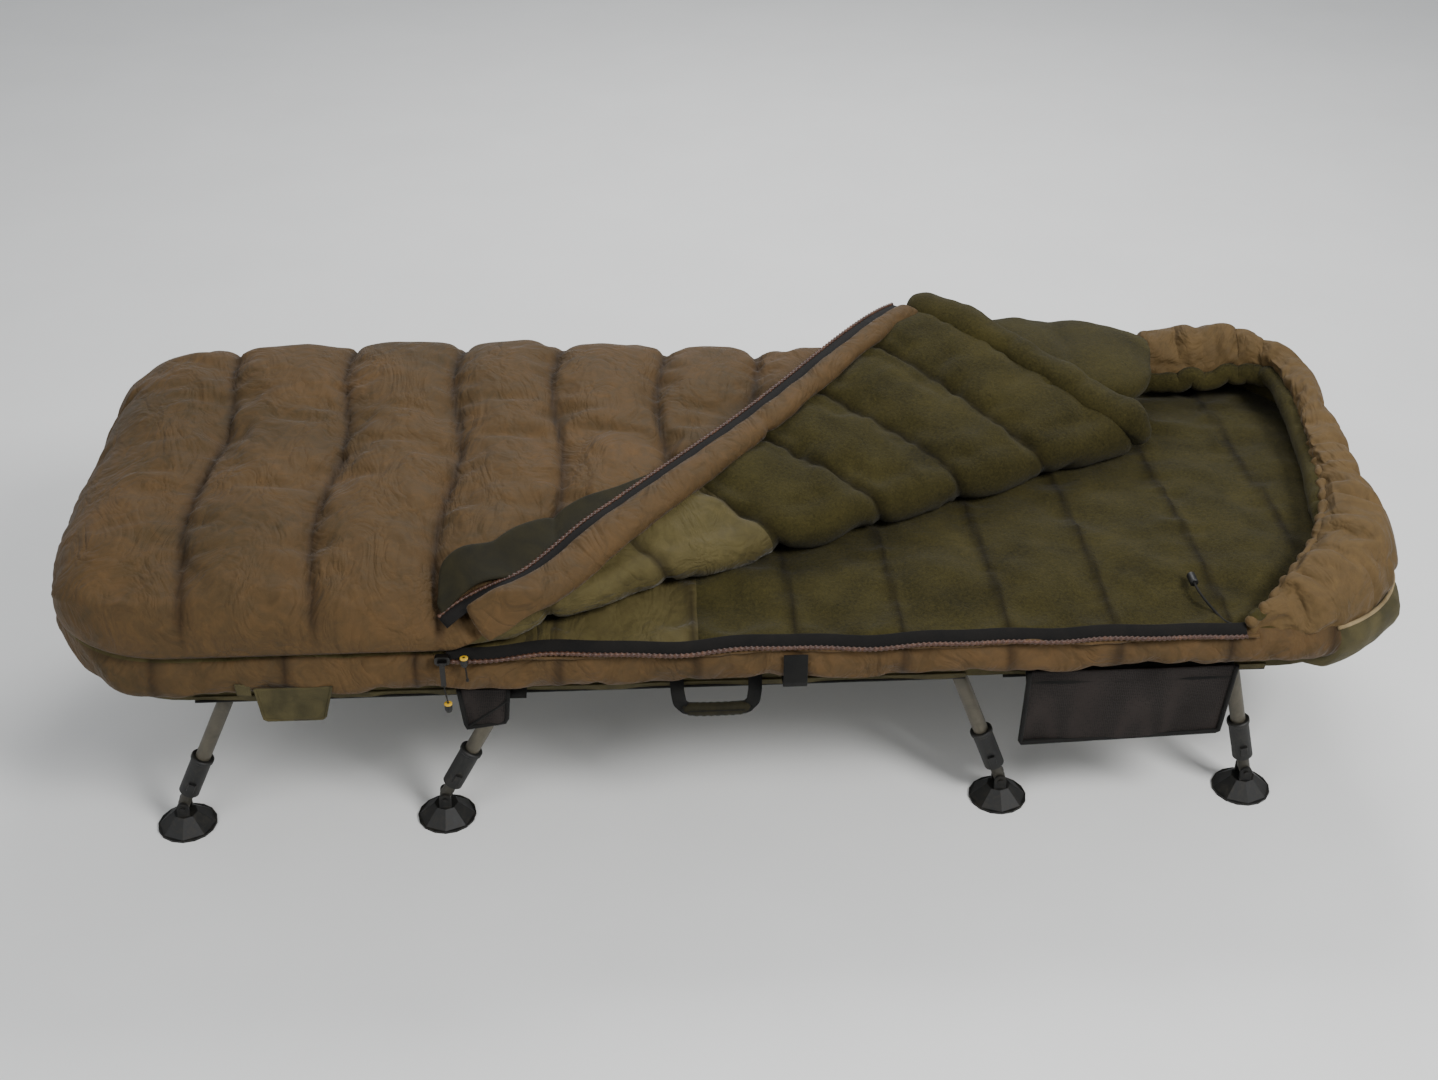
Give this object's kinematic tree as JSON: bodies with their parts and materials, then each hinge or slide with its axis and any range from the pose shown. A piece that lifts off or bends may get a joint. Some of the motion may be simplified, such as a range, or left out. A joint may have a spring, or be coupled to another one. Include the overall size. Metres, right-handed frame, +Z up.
{
  "type": "sleeping bag on folding bedchair",
  "caption": "Padded hooded sleeping bag, unzipped and folded back, strapped to a folding three-section bedchair with U-shaped leg frames, telescopic legs and swivel mud feet",
  "frame": {"origin": "on the ground, under the middle of the bedchair", "axes": "+X to the head end, -Y to the side with the open zip, +Z up"},
  "size_m": [2.192, 0.8791, 0.595],
  "materials": {
    "frame_paint": "satin grey-brown paint",
    "hinge_steel": "zinc-plated plate",
    "stem_metal": "satin dark paint",
    "collar_plastic": "moulded, slightly grained",
    "foot_plastic": "moulded, slightly grained",
    "mattress_cloth": "olive polyester",
    "fleece": "olive brushed fleece",
    "shell_cloth": "brown peach-skin with a soft sheen",
    "mesh": "dark open mesh",
    "webbing": "black woven webbing",
    "zip_metal": "black enamel",
    "cord": "black braided cord",
    "toggle_plastic": "moulded"
  },
  "bodies": {
    "centre": {"centre_frame": "frame_paint", "hinge_brackets": "hinge_steel", "leg_saddles_centre": "frame_paint", "mattress_centre": "mattress_cloth", "base_quilt_centre": "fleece", "cover_centre": "shell_cloth", "folded_flap_centre": "fleece", "zip_track": "webbing", "side_pocket": "mesh", "carry_handle": "webbing", "retention_strap": "webbing"},
    "foot_section": {"foot_frame": "frame_paint", "leg_saddles_foot": "frame_paint", "mattress_foot": "mattress_cloth", "base_quilt_foot": "fleece", "cover_foot": "shell_cloth", "bag_foot_fold": "shell_cloth", "foot_skirt": "mattress_cloth"},
    "head_section": {"head_frame": "frame_paint", "leg_saddles_head": "frame_paint", "mattress_head": "mattress_cloth", "base_quilt_head": "fleece", "cover_head": "shell_cloth", "folded_flap_head": "fleece", "bag_head_fold": "shell_cloth", "hood": "shell_cloth", "head_pocket": "mattress_cloth", "mesh_pocket": "mesh", "hood_drawcord": "cord", "hood_toggle": "toggle_plastic"},
    "zip_slider": {"zip_slider": "zip_metal"},
    "zip_pull": {"zip_pull": "zip_metal"},
    "leg_frame_1": {"leg_frame_1": "frame_paint"},
    "collar_1_near": {"lock_collar_1_near": "collar_plastic"},
    "stem_1_near": {"leg_stem_1_near": "stem_metal"},
    "foot_1_near": {"mud_foot_1_near": "foot_plastic"},
    "collar_1_far": {"lock_collar_1_far": "collar_plastic"},
    "stem_1_far": {"leg_stem_1_far": "stem_metal"},
    "foot_1_far": {"mud_foot_1_far": "foot_plastic"},
    "leg_frame_2": {"leg_frame_2": "frame_paint"},
    "collar_2_near": {"lock_collar_2_near": "collar_plastic"},
    "stem_2_near": {"leg_stem_2_near": "stem_metal"},
    "foot_2_near": {"mud_foot_2_near": "foot_plastic"},
    "collar_2_far": {"lock_collar_2_far": "collar_plastic"},
    "stem_2_far": {"leg_stem_2_far": "stem_metal"},
    "foot_2_far": {"mud_foot_2_far": "foot_plastic"},
    "leg_frame_3": {"leg_frame_3": "frame_paint"},
    "collar_3_near": {"lock_collar_3_near": "collar_plastic"},
    "stem_3_near": {"leg_stem_3_near": "stem_metal"},
    "foot_3_near": {"mud_foot_3_near": "foot_plastic"},
    "collar_3_far": {"lock_collar_3_far": "collar_plastic"},
    "stem_3_far": {"leg_stem_3_far": "stem_metal"},
    "foot_3_far": {"mud_foot_3_far": "foot_plastic"},
    "leg_frame_4": {"leg_frame_4": "frame_paint"},
    "collar_4_near": {"lock_collar_4_near": "collar_plastic"},
    "stem_4_near": {"leg_stem_4_near": "stem_metal"},
    "foot_4_near": {"mud_foot_4_near": "foot_plastic"},
    "collar_4_far": {"lock_collar_4_far": "collar_plastic"},
    "stem_4_far": {"leg_stem_4_far": "stem_metal"},
    "foot_4_far": {"mud_foot_4_far": "foot_plastic"}
  },
  "joints": [
    {"name": "head_recline", "type": "hinge", "parent": "centre", "child": "head_section", "pos_m": [0.4, 0, 0.302], "axis": [0, -1, 0], "range_deg": [0, 55], "deforming": ["bag_head_fold"]},
    {"name": "foot_fold", "type": "hinge", "parent": "centre", "child": "foot_section", "pos_m": [-0.4, 0, 0.302], "axis": [0, 1, 0], "range_deg": [0, 50], "deforming": ["bag_foot_fold"]},
    {"name": "zip_slide", "type": "slide", "parent": "foot_section", "child": "zip_slider", "axis": [1, 0, 0], "range_m": [-0.25, 0]},
    {"name": "zip_pull_swing", "type": "hinge", "parent": "zip_slider", "child": "zip_pull", "pos_m": [-0.457, -0.4465, 0.399], "axis": [1, 0, 0], "range_deg": [-100, 0]},
    {"name": "leg_1_fold", "type": "hinge", "parent": "foot_section", "child": "leg_frame_1", "pos_m": [-0.815, 0, 0.275], "axis": [0, -1, 0], "range_deg": [0, 104]},
    {"name": "collar_1_near_twist", "type": "hinge", "parent": "leg_frame_1", "child": "collar_1_near", "pos_m": [-0.89191, -0.335, 0.10854], "axis": [-0.4195, 0, -0.9078], "range_deg": [0, 90]},
    {"name": "leg_1_near_length", "type": "slide", "parent": "leg_frame_1", "child": "stem_1_near", "axis": [-0.4195, 0, -0.9078], "range_m": [0, 0.1]},
    {"name": "foot_1_near_swivel", "type": "hinge", "parent": "stem_1_near", "child": "foot_1_near", "pos_m": [-0.92127, -0.335, 0.045], "axis": [0, 1, 0], "range_deg": [-25, 25]},
    {"name": "collar_1_far_twist", "type": "hinge", "parent": "leg_frame_1", "child": "collar_1_far", "pos_m": [-0.89191, 0.335, 0.10854], "axis": [-0.4195, 0, -0.9078], "range_deg": [0, 90]},
    {"name": "leg_1_far_length", "type": "slide", "parent": "leg_frame_1", "child": "stem_1_far", "axis": [-0.4195, 0, -0.9078], "range_m": [0, 0.1]},
    {"name": "foot_1_far_swivel", "type": "hinge", "parent": "stem_1_far", "child": "foot_1_far", "pos_m": [-0.92127, 0.335, 0.045], "axis": [0, 1, 0], "range_deg": [-25, 25]},
    {"name": "leg_2_fold", "type": "hinge", "parent": "centre", "child": "leg_frame_2", "pos_m": [-0.364, 0, 0.275], "axis": [0, -1, 0], "range_deg": [0, 108]},
    {"name": "collar_2_near_twist", "type": "hinge", "parent": "leg_frame_2", "child": "collar_2_near", "pos_m": [-0.45343, -0.335, 0.10681], "axis": [-0.4695, 0, -0.8829], "range_deg": [0, 90]},
    {"name": "leg_2_near_length", "type": "slide", "parent": "leg_frame_2", "child": "stem_2_near", "axis": [-0.4695, 0, -0.8829], "range_m": [0, 0.1]},
    {"name": "foot_2_near_swivel", "type": "hinge", "parent": "stem_2_near", "child": "foot_2_near", "pos_m": [-0.48629, -0.335, 0.045], "axis": [0, 1, 0], "range_deg": [-25, 25]},
    {"name": "collar_2_far_twist", "type": "hinge", "parent": "leg_frame_2", "child": "collar_2_far", "pos_m": [-0.45343, 0.335, 0.10681], "axis": [-0.4695, 0, -0.8829], "range_deg": [0, 90]},
    {"name": "leg_2_far_length", "type": "slide", "parent": "leg_frame_2", "child": "stem_2_far", "axis": [-0.4695, 0, -0.8829], "range_m": [0, 0.1]},
    {"name": "foot_2_far_swivel", "type": "hinge", "parent": "stem_2_far", "child": "foot_2_far", "pos_m": [-0.48629, 0.335, 0.045], "axis": [0, 1, 0], "range_deg": [-25, 25]},
    {"name": "leg_3_fold", "type": "hinge", "parent": "centre", "child": "leg_frame_3", "pos_m": [0.364, 0, 0.275], "axis": [0, -1, 0], "range_deg": [-101, 0]},
    {"name": "collar_3_near_twist", "type": "hinge", "parent": "leg_frame_3", "child": "collar_3_near", "pos_m": [0.4272, -0.335, 0.11035], "axis": [0.3584, 0, -0.9336], "range_deg": [0, 90]},
    {"name": "leg_3_near_length", "type": "slide", "parent": "leg_frame_3", "child": "stem_3_near", "axis": [0.3584, 0, -0.9336], "range_m": [0, 0.1]},
    {"name": "foot_3_near_swivel", "type": "hinge", "parent": "stem_3_near", "child": "foot_3_near", "pos_m": [0.45229, -0.335, 0.045], "axis": [0, 1, 0], "range_deg": [-25, 25]},
    {"name": "collar_3_far_twist", "type": "hinge", "parent": "leg_frame_3", "child": "collar_3_far", "pos_m": [0.4272, 0.335, 0.11035], "axis": [0.3584, 0, -0.9336], "range_deg": [0, 90]},
    {"name": "leg_3_far_length", "type": "slide", "parent": "leg_frame_3", "child": "stem_3_far", "axis": [0.3584, 0, -0.9336], "range_m": [0, 0.1]},
    {"name": "foot_3_far_swivel", "type": "hinge", "parent": "stem_3_far", "child": "foot_3_far", "pos_m": [0.45229, 0.335, 0.045], "axis": [0, 1, 0], "range_deg": [-25, 25]},
    {"name": "leg_4_fold", "type": "hinge", "parent": "head_section", "child": "leg_frame_4", "pos_m": [0.818, 0, 0.275], "axis": [0, -1, 0], "range_deg": [-94, 0]},
    {"name": "collar_4_near_twist", "type": "hinge", "parent": "leg_frame_4", "child": "collar_4_near", "pos_m": [0.85841, -0.335, 0.11292], "axis": [0.2419, 0, -0.9703], "range_deg": [0, 90]},
    {"name": "leg_4_near_length", "type": "slide", "parent": "leg_frame_4", "child": "stem_4_near", "axis": [0.2419, 0, -0.9703], "range_m": [0, 0.1]},
    {"name": "foot_4_near_swivel", "type": "hinge", "parent": "stem_4_near", "child": "foot_4_near", "pos_m": [0.87535, -0.335, 0.045], "axis": [0, 1, 0], "range_deg": [-25, 25]},
    {"name": "collar_4_far_twist", "type": "hinge", "parent": "leg_frame_4", "child": "collar_4_far", "pos_m": [0.85841, 0.335, 0.11292], "axis": [0.2419, 0, -0.9703], "range_deg": [0, 90]},
    {"name": "leg_4_far_length", "type": "slide", "parent": "leg_frame_4", "child": "stem_4_far", "axis": [0.2419, 0, -0.9703], "range_m": [0, 0.1]},
    {"name": "foot_4_far_swivel", "type": "hinge", "parent": "stem_4_far", "child": "foot_4_far", "pos_m": [0.87535, 0.335, 0.045], "axis": [0, 1, 0], "range_deg": [-25, 25]}
  ]
}
